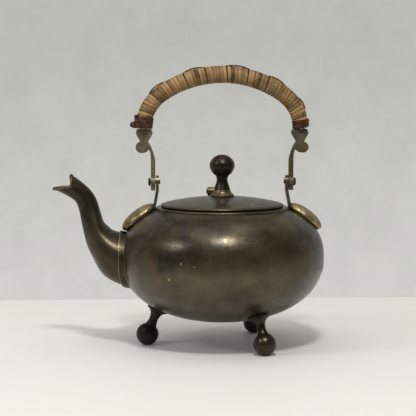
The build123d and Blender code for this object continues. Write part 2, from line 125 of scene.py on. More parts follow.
def mixed(tree, share, first, second, blend="MIX"):
    """Mixes two colours, each a socket or a plain colour, by a share."""
    node = add(tree, "Mix", data_type="RGBA", blend_type=blend)
    for index, value in ((0, share), (6, first), (7, second)):
        if isinstance(value, bpy.types.NodeSocket):
            tree.links.new(value, node.inputs[index])
        elif isinstance(value, tuple):
            node.inputs[index].default_value = (*value, 1)
        else:
            node.inputs[index].default_value = value
    return node.outputs[2]


def maths(tree, operation, first, second=0.5):
    """A math node over sockets or numbers."""
    node = add(tree, "Math", operation=operation)
    for index, value in enumerate((first, second)):
        if isinstance(value, bpy.types.NodeSocket):
            tree.links.new(value, node.inputs[index])
        else:
            node.inputs[index].default_value = value
    return node.outputs[0]


def new_group(name, inputs, outputs):
    """A node group with named number inputs and named outputs ("C" colour, "F" number)."""
    tree = bpy.data.node_groups.new(name, "ShaderNodeTree")
    kinds = {"C": "NodeSocketColor", "F": "NodeSocketFloat"}
    for label, (kind, value) in inputs.items():
        socket = tree.interface.new_socket(label, in_out="INPUT", socket_type=kinds[kind])
        socket.default_value = (*value, 1) if kind == "C" else value
    for label, kind in outputs.items():
        tree.interface.new_socket(label, in_out="OUTPUT", socket_type=kinds[kind])
    entry = tree.nodes.new("NodeGroupInput")
    leave = tree.nodes.new("NodeGroupOutput")
    return tree, entry.outputs, leave.inputs


def use_group(tree, group, **values):
    """Places a node group in a material and sets its inputs by name."""
    node = add(tree, "Group", node_tree=group)
    for key, value in values.items():
        socket = node.inputs[key.replace("_", " ")]
        if isinstance(value, bpy.types.NodeSocket):
            tree.links.new(value, socket)
        else:
            socket.default_value = (*value, 1) if isinstance(value, tuple) else value
    return node.outputs


print("node helpers ready")

# %% [markdown]
# ## Patina
# Old brass doesn't have one colour. Lacquer and handling leave broad soft clouds, and on top of
# them come small stains with a firm edge, and a fine grain from polishing. All brass parts share
# this effect, so it is one node group, and each material sets its own two colours and the size of
# the clouds.

# %% Patina group
patina, given, result = new_group(
    "patina",
    {"Dark": ("C", (0.05, 0.04, 0.025)), "Light": ("C", (0.2, 0.15, 0.08)), "Size": ("F", 30.0)},
    {"Color": "C", "Stain": "F", "Grain": "F"},
)
place = add(patina, "TexCoord").outputs["Object"]
clouds = add(patina, "TexNoise", Detail=5.0, Roughness=0.6)
patina.links.new(place, clouds.inputs["Vector"])
patina.links.new(given["Size"], clouds.inputs["Scale"])
cloud_share = ramp(patina, clouds.outputs["Fac"], (0.36, 0.0), (0.68, 1.0))
stains = add(patina, "TexNoise", Scale=150.0, Detail=4.0, Roughness=0.7)
patina.links.new(place, stains.inputs["Vector"])
stain_share = ramp(patina, stains.outputs["Fac"], (0.5, 0.0), (0.66, 1.0))
grain = add(patina, "TexNoise", Scale=900.0, Detail=3.0, Roughness=0.7)
patina.links.new(place, grain.inputs["Vector"])
base = mixed(patina, cloud_share, given["Dark"], given["Light"])
stained = mixed(patina, maths(patina, "MULTIPLY", stain_share, 0.5), base, given["Light"])
fine = ramp(patina, grain.outputs["Fac"], (0.3, 0.8), (0.7, 1.15))
patina.links.new(mixed(patina, 0.55, stained, fine, "MULTIPLY"), result["Color"])
patina.links.new(stain_share, result["Stain"])
patina.links.new(grain.outputs["Fac"], result["Grain"])
print("patina group:", len(patina.nodes), "nodes")

# %% [markdown]
# ## Worn edges, and painted shade in corners
# Hands rub the brass bright along its edges. The corners get painted shade, with some polish and
# dust in it. A Bevel node rounds the normal near an edge, so where it differs from the true normal
# there is an edge. An ambient occlusion node measures how enclosed a point is, which finds the
# corners to darken.

# %% Edge and corner groups
worn_edges, given, result = new_group("worn_edges", {"Width": ("F", 0.0006)}, {"Mask": "F"})
rounded = add(worn_edges, "Bevel", samples=4)
worn_edges.links.new(given["Width"], rounded.inputs["Radius"])
true_normal = add(worn_edges, "NewGeometry").outputs["Normal"]
alike = add(worn_edges, "VectorMath", operation="DOT_PRODUCT")
worn_edges.links.new(rounded.outputs["Normal"], alike.inputs[0])
worn_edges.links.new(true_normal, alike.inputs[1])
edge_share = ramp(worn_edges, alike.outputs["Value"], (0.78, 1.0), (0.97, 0.0))
worn_edges.links.new(edge_share, result["Mask"])

corners, given, result = new_group("corners", {"Reach": ("F", 0.004)}, {"Mask": "F"})
enclosed = add(corners, "AmbientOcclusion", samples=6, only_local=False)
corners.links.new(given["Reach"], enclosed.inputs["Distance"])
corners.links.new(ramp(corners, enclosed.outputs["AO"], (0.45, 1.0), (0.85, 0.0)), result["Mask"])
print("wear groups ready")

# %% [markdown]
# ## Specks and scratches
# The body has a few pin-prick chips where the dark skin is gone, and hair-thin scratches. A
# Voronoi pattern gives scattered dots, and only cells whose random number is high get one.

# %% Speck group
specks, given, result = new_group("specks", {"Density": ("F", 0.05)}, {"Mask": "F"})
place = add(specks, "TexCoord").outputs["Object"]
cells = add(specks, "TexVoronoi", Scale=130.0, Randomness=1.0)
specks.links.new(place, cells.inputs["Vector"])
dots = ramp(specks, cells.outputs["Distance"], (0.06, 1.0), (0.11, 0.0))
chance = add(specks, "SeparateColor")
specks.links.new(cells.outputs["Color"], chance.inputs[0])
chosen = maths(specks, "LESS_THAN", chance.outputs[0], given["Density"])
specks.links.new(maths(specks, "MULTIPLY", dots, chosen), result["Mask"])
print("speck group ready")

# %% [markdown]
# ## Metals
# Every metal is the same recipe with its own colours: patina, then bright wear on the edges,
# painted shade with some dirt in the corners, and a few specks. The Principled shader stays in the
# material itself. The patina also breaks up the roughness, which makes the highlight look
# speckled, as on the real pot.

# %% Metal recipe
# Painted shade with some dirt: enclosed corners are darkened towards this share of the dark
# colour.
shade_and_dirt_tint = 0.25
stain_gloss = 0.5
coat_roughness = 0.3
grain_depth = 0.0004


def aged_metal(name, dark, light, bright, size=30.0, rough=(0.3, 0.46), metal=0.8, wear=0.6,
               shade_and_dirt=0.6, speck=0.0, bump=0.06, lacquer=0.0, soften=0.00035, edge=0.0006):
    """An aged metal from a dark, a light and a worn colour."""
    material = bpy.data.materials.new(name)
    material.use_nodes = True
    tree = material.node_tree
    shader = tree.nodes["Principled BSDF"]
    skin = use_group(tree, patina, Dark=dark, Light=light, Size=size)
    rubbed = maths(tree, "MULTIPLY", use_group(tree, worn_edges, Width=edge)["Mask"], wear)
    chips = maths(tree, "MAXIMUM", rubbed, use_group(tree, specks, Density=speck)["Mask"])
    # Painted shade, with some dirt: the colour darkens where the surface is enclosed.
    shade_and_soil = maths(tree, "MULTIPLY", use_group(tree, corners)["Mask"], shade_and_dirt)
    colour = mixed(tree, chips, skin["Color"], bright)
    colour = mixed(tree, shade_and_soil, colour, tuple(c * shade_and_dirt_tint for c in dark))
    tree.links.new(colour, shader.inputs["Base Color"])
    low, high = rough
    matt = ramp(tree, skin["Grain"], (0.3, low), (0.7, high))
    glossy = maths(tree, "MULTIPLY", skin["Stain"], stain_gloss)
    tree.links.new(mixed(tree, glossy, matt, (low,) * 3), shader.inputs["Roughness"])
    shader.inputs["Metallic"].default_value = metal
    shader.inputs["Coat Weight"].default_value = lacquer
    shader.inputs["Coat Roughness"].default_value = coat_roughness
    relief = add(tree, "Bump", Strength=bump, Distance=grain_depth)
    tree.links.new(skin["Grain"], relief.inputs["Height"])
    rounded_edge = add(tree, "Bevel", samples=4, Radius=soften)
    tree.links.new(rounded_edge.outputs["Normal"], relief.inputs["Normal"])
    tree.links.new(relief.outputs["Normal"], shader.inputs["Normal"])
    return material


print("metal recipe ready")

# %% [markdown]
# ## The four metals
# The pot's brass is dark brown and clouded, with a little old lacquer. The pads are worn bright,
# the cast arms are dull olive, and the finial and the feet are nearly black brown.

# %% Metals
dark_brass = aged_metal("dark_brass", (0.026, 0.019, 0.01), (0.108, 0.078, 0.04),
                        (0.42, 0.33, 0.18), size=34.0, rough=(0.22, 0.44), metal=0.72,
                        speck=0.12, lacquer=0.28, bump=0.12)
bright_brass = aged_metal("bright_brass", (0.15, 0.116, 0.058), (0.4, 0.315, 0.17),
                          (0.6, 0.48, 0.27), size=90.0, wear=0.6, shade_and_dirt=0.9)
arm_brass = aged_metal("arm_brass", (0.07, 0.056, 0.032), (0.15, 0.122, 0.072),
                       (0.26, 0.22, 0.14), size=150.0, rough=(0.42, 0.6), metal=0.65, bump=0.3)
bronze = aged_metal("bronze", (0.02, 0.014, 0.009), (0.066, 0.049, 0.03),
                    (0.18, 0.135, 0.08), size=70.0, rough=(0.28, 0.46), lacquer=0.1)
metals = [dark_brass, bright_brass, arm_brass, bronze]
print("metals:", [metal.name for metal in metals])

# %% [markdown]
# ## Metals of single pieces
# Some pieces have their own colours. The finial's base is rubbed paler, and the beak's lip is
# painted paler as a sheen. The ring round the spout's root is dark with a bright edge, which is
# wear and a painted highlight. The spout is painted darker than the pot as shade, and the left arm
# paler than the right one as its lit side. Hinge, ears and rivets are brown to dark brown, and the
# foot under the spout is painted nearly black as shade.

# %% Single metals
base_brass = aged_metal("base_brass", (0.08, 0.058, 0.032), (0.2, 0.155, 0.085),
                        (0.3, 0.24, 0.14), size=110.0, wear=0.4)
# Painted light: the ring's bright edge is wear and a painted highlight, and its strong corner
# darkening is painted shade where it meets the pot.
ring_brass = aged_metal("ring_brass", (0.03, 0.022, 0.012), (0.07, 0.052, 0.028),
                        (0.62, 0.5, 0.28), size=90.0, wear=1.0, shade_and_dirt=2.0, edge=0.001)
# Painted shade: the spout is the pot's brass painted darker.
spout_brass = aged_metal("spout_brass", (0.02, 0.015, 0.009), (0.066, 0.049, 0.027),
                         (0.36, 0.28, 0.16), size=34.0, rough=(0.28, 0.42), metal=0.7,
                         speck=0.06)
# Painted light: the left arm is the arms' brass painted paler, as its lit side.
left_arm_brass = aged_metal("left_arm_brass", (0.12, 0.098, 0.06), (0.23, 0.19, 0.12),
                            (0.3, 0.25, 0.16), size=150.0, rough=(0.42, 0.6), metal=0.65,
                            bump=0.3)
hinge_brass = aged_metal("hinge_brass", (0.06, 0.04, 0.02), (0.19, 0.125, 0.055),
                         (0.3, 0.21, 0.11), size=200.0, wear=0.5, shade_and_dirt=0.9)
# Painted shade: the foot under the spout is the bronze painted nearly black.
sooty_bronze = aged_metal("sooty_bronze", (0.009, 0.007, 0.005), (0.026, 0.019, 0.013),
                          (0.06, 0.045, 0.03), size=90.0, rough=(0.38, 0.55), metal=0.6)
rivet_brass = aged_metal("rivet_brass", (0.02, 0.015, 0.009), (0.08, 0.058, 0.032),
                         (0.2, 0.155, 0.09), size=240.0, wear=0.5, shade_and_dirt=0.8)
ear_brass = aged_metal("ear_brass", (0.08, 0.062, 0.034), (0.19, 0.15, 0.088),
                       (0.36, 0.29, 0.17), size=160.0, wear=0.5, shade_and_dirt=0.8)
# Painted sheen: the lip is paler brass, for the soft sheen on the beak.
lip_brass = aged_metal("lip_brass", (0.07, 0.055, 0.033), (0.17, 0.135, 0.085),
                       (0.3, 0.24, 0.14), size=120.0, wear=0.4)
print("nine single metals ready")

# %% [markdown]
# ## Which node wears which metal
# The slots come from the part's own record, so every node keeps the finish that its record names,
# apart from the pieces with a metal of their own.

# %% Dress the metal nodes
odd_ones = {
    "finial_base": base_brass,
    "spout": spout_brass,
    "bail_arm_left": left_arm_brass,
    "foot_spout": sooty_bronze,
    "ear_bracket_left": ear_brass,
    "ear_bracket_right": ear_brass,
    "spout_collar": ring_brass,
    "lid_hinge_leaf": hinge_brass,
    "body_hinge_leaf": hinge_brass,
    "hinge_pin": hinge_brass,
    "pivot_rivet_left": rivet_brass,
    "pivot_rivet_right": rivet_brass,
}
metal_of = {
    "dark_brass": dark_brass,
    "bright_brass": bright_brass,
    "arm_brass": arm_brass,
    "bronze": bronze,
}
dressed = 0
for name, node in nodes.items():
    for index, held in enumerate(node.material_slots):
        for slot_name, material in metal_of.items():
            if held.material and held.material.name.startswith(slot_name):
                node.material_slots[index].material = odd_ones.get(name, material)
                dressed += 1
print("metal slots dressed:", dressed)

# %% [markdown]
# ## The grip's line
# The grip follows an arch of three arcs that run into each other: a tight one at each end and a
# wide crown. A point on it is named by its distance from the right end, so that pitch and length
# of the cane are plain numbers. The ends stand on the two spades at the top of the arms.

# %% Arch of the grip
half_span = 51.2 * MM
arch_base = 141.2 * MM
arch_rise = 35.3 * MM
end_bend = 28.0 * MM
side_middle = half_span - end_bend
crown_drop = (side_middle**2 - (arch_rise - end_bend) ** 2) / (2 * (arch_rise - end_bend))
crown_radius = arch_rise + crown_drop
joint_angle = math.atan2(crown_drop, side_middle)
flank = joint_angle * end_bend
grip_length = 2 * flank + (math.pi - 2 * joint_angle) * crown_radius


def grip_frame(distance):
    """Centre, outward direction and forward direction of the grip's line."""
    if distance < flank:
        angle = distance / end_bend
        middle = Vector((axis_x + side_middle, 0, arch_base))
        radius = end_bend
    elif distance > grip_length - flank:
        angle = math.pi - (grip_length - distance) / end_bend
        middle = Vector((axis_x - side_middle, 0, arch_base))
        radius = end_bend
    else:
        angle = joint_angle + (distance - flank) / crown_radius
        middle = Vector((axis_x, 0, arch_base - crown_drop))
        radius = crown_radius
    out = Vector((math.cos(angle), 0, math.sin(angle)))
    onward = Vector((-math.sin(angle), 0, math.cos(angle)))
    return middle + out * radius, out, onward, radius


print("grip line is", round(grip_length * 1000, 1), "mm long")

# %% [markdown]
# ## Sweeping a section
# Cane strips, cords and the core under them are all sections carried along a line. This helper
# takes rings of points and joins them with faces. Each ring may carry a tone from 0 to 1, which
# the cane's material reads, because no two turns of real cane have quite the same colour.

# %% Joining rings into a mesh
def skin_rings(name, rings, tones=None, close_ends=True):
    """A mesh object whose faces join equal rings of points one after the other."""
    mesh = bpy.data.meshes.new(name)
    count = len(rings[0])
    points = [point for ring in rings for point in ring]
    faces = []
    for i in range(len(rings) - 1):
        for j in range(count):
            k = (j + 1) % count
            faces.append((i * count + j, i * count + k, (i + 1) * count + k, (i + 1) * count + j))
    if close_ends:
        faces.append(tuple(reversed(range(count))))
        faces.append(tuple((len(rings) - 1) * count + j for j in range(count)))
    mesh.from_pydata(points, [], faces)
    if tones is not None:
        layer = mesh.attributes.new("tone", "FLOAT", "POINT")
        layer.data.foreach_set("value", [tone for tone in tones for _ in range(count)])
    mesh.validate()
    form = bmesh.new()
    form.from_mesh(mesh)
    bmesh.ops.recalc_face_normals(form, faces=form.faces)
    form.to_mesh(mesh)
    form.free()
    mesh.shade_smooth()
    thing = bpy.data.objects.new(name, mesh)
    bpy.context.scene.collection.objects.link(thing)
    return thing

# %% [markdown]
# ## Cane
# Split cane is flat and slightly crowned, with fine lines along its length and a dull gloss. The
# strand's own direction isn't known to the material, but on the grip the lines run round the
# arch, so thin noise across the sweep is enough at this size. The tone of each turn shifts the
# colour between straw and a warm brown.

# %% Cane materials
tone_spread = 1.1
groove_shade_and_dirt = 0.6
groove_reach = 0.0012
groove_shade_and_dirt_tint = 0.18
fibre_share = 0.5


def cane_material(name, pale, deep, rough=0.5):
    """Split cane or bark between two colours, by the tone that each turn carries."""
    material = bpy.data.materials.new(name)
    material.use_nodes = True
    tree = material.node_tree
    shader = tree.nodes["Principled BSDF"]
    tone = add(tree, "Attribute", attribute_name="tone").outputs["Fac"]
    place = add(tree, "TexCoord").outputs["Object"]
    fibre = add(tree, "TexNoise", Scale=700.0, Detail=4.0, Roughness=0.7)
    tree.links.new(place, fibre.inputs["Vector"])
    blotch = add(tree, "TexNoise", Scale=160.0, Detail=3.0)
    tree.links.new(place, blotch.inputs["Vector"])
    uneven = maths(tree, "SUBTRACT", blotch.outputs["Fac"], 0.5)
    shifted = maths(tree, "ADD", tone, maths(tree, "MULTIPLY", uneven, tone_spread))
    share = maths(tree, "MINIMUM", maths(tree, "MAXIMUM", shifted, 0.0), 1.0)
    colour = mixed(tree, share, pale, deep)
    lines = ramp(tree, fibre.outputs["Fac"], (0.3, 0.75), (0.65, 1.05))
    colour = mixed(tree, fibre_share, colour, lines, "MULTIPLY")
    # Painted shade with some dirt: the grooves between strips darken where the surface is
    # enclosed.
    shade_and_soil = use_group(tree, corners, Reach=groove_reach)["Mask"]
    shade_and_dirt_share = maths(tree, "MULTIPLY", shade_and_soil, groove_shade_and_dirt)
    colour = mixed(tree, shade_and_dirt_share, colour, tuple(c * groove_shade_and_dirt_tint for c in deep))
    tree.links.new(colour, shader.inputs["Base Color"])
    shader.inputs["Roughness"].default_value = rough
    shader.inputs["Specular IOR Level"].default_value = 0.22
    relief = add(tree, "Bump", Strength=0.15, Distance=0.0002)
    tree.links.new(fibre.outputs["Fac"], relief.inputs["Height"])
    tree.links.new(relief.outputs["Normal"], shader.inputs["Normal"])
    return material


cane = cane_material("cane", (0.285, 0.178, 0.07), (0.06, 0.026, 0.009))
# Painted shade: the core is nearly black, for the shade in the slits between strips.
core_cane = cane_material("core_cane", (0.03, 0.017, 0.008), (0.014, 0.008, 0.004), rough=0.8)
bark = cane_material("bark", (0.082, 0.028, 0.012), (0.014, 0.006, 0.003), rough=0.5)
strand_cane = cane_material("strand_cane", (0.15, 0.078, 0.03), (0.06, 0.028, 0.011))
print("cane materials ready")

# %% [markdown]
# ## The core of the grip
# Between the strips one sees a darker core, painted nearly black as the shade in the slits. It
# swells a little towards the middle, where the hand holds it.

# %% Core
wound_from = 4.6 * MM
wound_to = grip_length - 7.2 * MM
core_end = 0.8 * MM
core_sink = 0.55 * MM
core_steps = 120
end_radius_mm = 5.0
swell_mm = 0.62
swell_fullness = 0.6


def grip_radius(distance):
    """Outer radius of the cane at a place on the grip, a little thicker in the middle."""
    share = (distance - wound_from) / (wound_to - wound_from)
    swell = math.sin(math.pi * min(max(share, 0), 1)) ** swell_fullness
    return (end_radius_mm + swell_mm * swell) * MM


def round_ring(distance, radius, sides=20):
    """A ring of points round the grip's line."""
    middle, out, _, _ = grip_frame(distance)
    across = Vector((0, 1, 0))
    turn = [2 * math.pi * i / sides for i in range(sides)]
    return [middle + (out * math.cos(a) + across * math.sin(a)) * radius for a in turn]


core_rings = []
for i in range(core_steps + 1):
    spot = core_end + (grip_length - 2 * core_end) * i / core_steps
    core_rings.append(round_ring(spot, grip_radius(spot) - core_sink))
grip_core = skin_rings("grip_core", core_rings, tones=[0.5] * len(core_rings))
grip_core.data.materials.append(core_cane)
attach(grip_core, "bail")
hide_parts("cane_padding")
print("core ready with", len(core_rings), "rings")

# %% [markdown]
# ## Turns of the strip
# One flat strip goes round the grip some fifty times. Each turn gets a small shift in pitch,
# height and tone, because it was wound by hand. Where the strand on top dives under the strip,
# two turns stand apart, which leaves a dark slit.

# %% Turns
turns = 56
pitch = (wound_to - wound_from) / turns
turn_shift = [random.uniform(-0.1, 0.1) for _ in range(turns + 2)]
turn_lift = [random.uniform(-0.1, 0.1) * MM for _ in range(turns + 2)]
turn_tone = [min(max(random.gauss(0.34, 0.34), 0), 1) for _ in range(turns + 2)]
slits = [40.1, 52.0, 67.0, 79.8, 92.8]
slit_half = 0.17
for slit in slits:
    before = int((slit * MM - wound_from) / pitch)
    turn_shift[before] = -slit_half
    turn_shift[before + 1] = slit_half
print(turns, "turns, pitch", round(pitch / MM, 2), "mm,", len(slits), "slits")

# %% [markdown]
# ## The wound strip
# The strip's section is a thin rounded bar. At each step it stands across the strip's own
# direction. Where the arch is bent, the turns touch on the inside and spread on the outside, so
# the strip's width follows the room that it has there.

# %% Wound strip
steps_per_turn = 24
strip_thickness = 0.62 * MM
widest_strip = 2.3 * MM
glance = 0.02


def between(values, spot):
    """A value between two neighbours of a list."""
    i = min(int(spot), len(values) - 2)
    share = spot - i
    ease = share * share * (3 - 2 * share)
    return values[i] * (1 - ease) + values[i + 1] * ease


def strip_place(turn):
    """Where the middle of the strip is after a number of turns: distance along and angle."""
    along = wound_from + pitch * (turn + between(turn_shift, turn))
    return along, 2 * math.pi * turn


def strip_point(turn):
    """Middle of the strip in space, and its outward direction there."""
    along, angle = strip_place(turn)
    middle, out, _, _ = grip_frame(along)
    outward = out * math.cos(angle) + Vector((0, 1, 0)) * math.sin(angle)
    reach = grip_radius(along) - strip_thickness / 2 + between(turn_lift, turn)
    return middle + outward * reach, outward


section = [(-0.5, -0.5), (-0.5, 0.05), (-0.4, 0.36), (-0.2, 0.5), (0.0, 0.54), (0.2, 0.5),
           (0.4, 0.36), (0.5, 0.05), (0.5, -0.5)]
strip_rings = []
strip_tones = []
for i in range(turns * steps_per_turn + 1):
    turn = i / steps_per_turn
    point, outward = strip_point(turn)
    ahead = strip_point(turn + glance)[0] - strip_point(max(turn - glance, 0))[0]
    across = ahead.normalized().cross(outward).normalized()
    along, angle = strip_place(turn)
    bend = grip_frame(along)[3]
    width = pitch * (1 + grip_radius(along) * math.cos(angle) / bend)
    width = min(width, widest_strip)
    strip_rings.append([point + across * (x * width) + outward * (z * strip_thickness)
                        for x, z in section])
    strip_tones.append(between(turn_tone, turn))
wound_strip = skin_rings("wound_strip", strip_rings, strip_tones)
wound_strip.data.materials.append(cane)
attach(wound_strip, "bail")
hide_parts("cane_winding")
print("strip ready with", len(strip_rings), "rings")

# %% [markdown]
# ## The strand along the top
# A thin strand runs along the top of the grip and is woven in: it lies over a few turns, then
# dives under the next few. Where it shows, it bows up a little.

# %% Woven strand
seen_spans = [(10.6, 18.7), (28.3, 40.1), (52.0, 67.0), (79.8, 92.8), (104.9, 116.6)]
strand_radius = 0.5 * MM
strand_flatness = 1.5
strand_sink = 0.5 * MM
strand_bow = 1.15 * MM
bow_fullness = 0.6
strand_steps = 300
strand_sides = 8


def strand_height(distance):
    """How far the strand's middle is above the cane at a distance along the grip."""
    for start, end in seen_spans:
        if start * MM < distance < end * MM:
            share = (distance / MM - start) / (end - start)
            return -strand_sink + strand_bow * math.sin(math.pi * share) ** bow_fullness
    return -strand_sink


strand_rings = []
for i in range(strand_steps + 1):
    spot = wound_from + (wound_to - wound_from) * i / strand_steps
    middle, out, _, _ = grip_frame(spot)
    centre = middle + out * (grip_radius(spot) + strand_height(spot))
    ring = [2 * math.pi * j / strand_sides for j in range(strand_sides)]
    across = Vector((0, 1, 0))
    strand_rings.append([centre + (out * math.cos(a) + across * math.sin(a) * strand_flatness)
                         * strand_radius for a in ring])
strand = skin_rings("woven_strand", strand_rings, [0.4] * len(strand_rings))
strand.data.materials.append(strand_cane)
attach(strand, "bail")
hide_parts("cane_stringer")
print("strand shows in", len(seen_spans), "places")

# %% [markdown]
# ## Strips of bark
# A flat strip of red-brown bark holds each end of the cane. A band is the same thin bar as the
# cane, wound as a steep helix whose wraps lie on each other. The end of a strip is bent over a
# small arc, so it sticks out as a fold.

# %% Bark strips
band_steps = 32
wrap_rise = 0.9
wrap_ripple = 0.2
tilt_turn = 0.6
loop_steps = 16
loop_fullness = 0.6


def bark_band(name, start, end, radius, width, wraps, phase, tilt, thickness):
    """A flat strip wound round the grip between two places, as a helix of a few wraps."""
    rings = []
    tones = []
    steps = int(band_steps * wraps)
    for i in range(steps + 1):
        share = i / steps
        angle = phase + 2 * math.pi * wraps * share
        along = start + (end - start) * share + tilt * math.cos(angle - tilt_turn)
        middle, out, onward, _ = grip_frame(max(along, 0))
        outward = out * math.cos(angle) + Vector((0, 1, 0)) * math.sin(angle)
        ripple = wrap_ripple * math.sin(3 * angle + phase)
        point = middle + outward * (radius + thickness * (wrap_rise * share * wraps + ripple))
        rings.append([point + onward * (x * width) + outward * (z * thickness)
                      for x, z in section])
        tones.append(0.45 + 0.35 * math.sin(4 * angle + 9 * share))
    band = skin_rings(name, rings, tones)
    band.data.materials.append(bark)
    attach(band, "bail")
    return band


def bark_loop(name, distance, radius, reach, height, width, thickness, turn):
    """The end of a strip, folded into a small loop that sticks out of the binding."""
    middle, out, onward, _ = grip_frame(distance)
    outward = out * math.cos(turn) + Vector((0, 1, 0)) * math.sin(turn)
    aside = outward.cross(onward)
    rings = []
    for i in range(loop_steps + 1):
        angle = math.pi * i / loop_steps
        forward = math.sin(angle) ** loop_fullness * reach
        rise = math.cos(angle) * height / 2
        centre = middle + outward * (radius + forward) + onward * rise
        normal = (outward * math.sin(angle) + onward * math.cos(angle)).normalized()
        rings.append([centre + aside * (x * width) + normal * (z * thickness)
                      for x, z in section])
    loop = skin_rings(name, rings, [0.2 + 0.5 * (i % 3) / 2 for i in range(len(rings))])
    loop.data.materials.append(bark)
    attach(loop, "bail")
    return loop


print("bark strips have", band_steps, "steps to a wrap")

# %% [markdown]
# ## The bindings at the ends
# The right binding is two narrow bands and a stub. The left one is thicker: a flat band at the
# bottom, two bands that cross above it, and two folded ends.

# %% Bindings
def right_place(mm):
    """A distance from the right end."""
    return mm * MM


def left_place(mm):
    """A distance from the left end."""
    return grip_length - mm * MM


right_low = bark_band("binding_right_low", start=right_place(1.8), end=right_place(2.4),
                      radius=4.5 * MM, width=2.6 * MM, wraps=2.2, phase=0.4,
                      tilt=0.35 * MM, thickness=0.5 * MM)
right_high = bark_band("binding_right_high", start=right_place(4.0), end=right_place(4.7),
                       radius=4.7 * MM, width=2.2 * MM, wraps=2.0, phase=2.0,
                       tilt=-0.6 * MM, thickness=0.45 * MM)
right_end = bark_loop("binding_right_end", distance=right_place(4.6), radius=5.0 * MM,
                      reach=1.5 * MM, height=1.4 * MM, width=1.8 * MM,
                      thickness=1.2 * MM, turn=0.5)
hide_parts("cane_binding_right")
left_low = bark_band("binding_left_low", start=left_place(2.4), end=left_place(2.2),
                     radius=5.2 * MM, width=3.5 * MM, wraps=2.1, phase=1.0,
                     tilt=0.25 * MM, thickness=0.55 * MM)
left_high = bark_band("binding_left_high", start=left_place(6.2), end=left_place(5.6),
                      radius=5.0 * MM, width=3.3 * MM, wraps=1.7, phase=2.4,
                      tilt=1.4 * MM, thickness=0.6 * MM)
left_cross = bark_band("binding_left_cross", start=left_place(6.0), end=left_place(5.2),
                       radius=5.7 * MM, width=2.4 * MM, wraps=1.3, phase=0.7,
                       tilt=-1.3 * MM, thickness=0.55 * MM)
left_end = bark_loop("binding_left_end", distance=left_place(2.4), radius=5.8 * MM,
                     reach=2.4 * MM, height=2.6 * MM, width=3.6 * MM,
                     thickness=1.5 * MM, turn=-0.25)
left_knot = bark_loop("binding_left_knot", distance=left_place(6.8), radius=5.2 * MM,
                      reach=1.6 * MM, height=2.2 * MM, width=2.6 * MM,
                      thickness=1.1 * MM, turn=-0.4)
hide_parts("cane_binding_left")
right_side = [right_low, right_high, right_end]
left_side = [left_low, left_high, left_cross, left_end, left_knot]
print("binding pieces:", [piece.name for piece in right_side + left_side])

# %% [markdown]
# ## Fluted pads
# Under each ear lies a cast pad like a small shell, with flutes that spread from the ear to the
# outer edge. The CAD pad is a plain ellipsoid, so a thin fluted shell is laid over it. A point on
# it is named by an angle down from its top and an angle round it. The flutes are a cosine of the
# direction seen from the inner tip, and they fade out towards that tip.

# %% Fluted pads
pad_reach = 54.3 * MM
pad_height = 84.2 * MM
pad_half = Vector((12.7, 9.5, 4.4)) * MM
pad_slope = math.radians(38)
pad_edge = math.radians(118)
pad_rings = 30
pad_sides = 120
flutes = 32
skin_mm = 0.15
flute_mm = 0.8
rim_mm = 0.4


def pad_point(side, down, round_it):
    """A point of the fluted shell, from its polar angle and the angle round its middle."""
    x = math.sin(down) * math.cos(round_it)
    y = math.sin(down) * math.sin(round_it)
    z = math.cos(down)
    from_tip = (x + 1) / 2
    spread = math.atan2(pad_half.y * y, pad_half.x * (x + 1) + 2 * MM)
    ripple = 0.5 + 0.5 * math.cos(flutes * spread)
    strength = min(from_tip * 1.8, 1.0) * (0.35 + 0.65 * math.sin(down) ** 2)
    proud = (skin_mm + flute_mm * ripple * strength + rim_mm * from_tip**3) * MM
    swell = 1 + proud / pad_half.z * (0.25 + 0.75 * abs(z))
    along = Vector((side * math.cos(pad_slope), 0, -math.sin(pad_slope)))
    above = Vector((side * math.sin(pad_slope), 0, math.cos(pad_slope)))
    middle = Vector((axis_x + side * pad_reach, 0, pad_height))
    flat = along * (pad_half.x * x) + Vector((0, pad_half.y * y, 0))
    return middle + flat * (1 + 0.35 * proud / pad_half.y) + above * (pad_half.z * z * swell)


for side, name in ((1, "pad_shell_right"), (-1, "pad_shell_left")):
    rings = []
    for i in range(1, pad_rings + 1):
        down = pad_edge * i / pad_rings
        turn = [2 * math.pi * j / pad_sides for j in range(pad_sides)]
        rings.append([pad_point(side, down, side * a) for a in turn])
    pad = skin_rings(name, rings)
    pad.data.materials.append(bright_brass)
    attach(pad, "pot")
print("pads ready with", flutes, "flutes")

# %% [markdown]
# ## The cut rim of the beak
# The spout is cut open like a beak: one flat cut stands upright and one lies level. The faces of
# both cuts are found in the CAD mesh by their direction and place, and the lines round them, an
# outer and an inner one, are the edges that belong to only one of these faces.

# %% Cut rim
beak_corner = Vector((axis_x - 97.8 * MM, 0, 104.2 * MM))
upright_reach = 1.2 * MM
level_reach = 2 * MM
corner_slack = 0.3 * MM
MICRON = 1e6


def on_cut(face):
    """Whether a face of the spout belongs to the flat cut of the beak."""
    upright = (face.normal.x < -0.98 and face.center.z > beak_corner.z
               and abs(face.center.x - beak_corner.x) < upright_reach)
    level = (face.normal.z > 0.97 and face.center.x < beak_corner.x + corner_slack
             and abs(face.center.z - beak_corner.z) < level_reach)
    return upright or level


def cut_loops(mesh):
    """The closed lines round the cut faces, each as an ordered list of points."""
    seen = {}
    for face in mesh.polygons:
        if on_cut(face):
            keys = [tuple(round(v * MICRON) for v in mesh.vertices[i].co)
                    for i in face.vertices]
            for first, second in zip(keys, keys[1:] + keys[:1]):
                edge = frozenset((first, second))
                seen[edge] = seen.get(edge, 0) + 1
    joined = {}
    for edge, times in seen.items():
        if times == 1 and len(edge) == 2:
            first, second = edge
            joined.setdefault(first, []).append(second)
            joined.setdefault(second, []).append(first)
    found = []
    while joined:
        here = next(iter(joined))
        line = []
        while here in joined:
            line.append(Vector(here) / MICRON)
            onward = [k for k in joined.pop(here) if k in joined]
            here = onward[0] if onward else None
        found.append(line)
    return sorted(found, key=len, reverse=True)


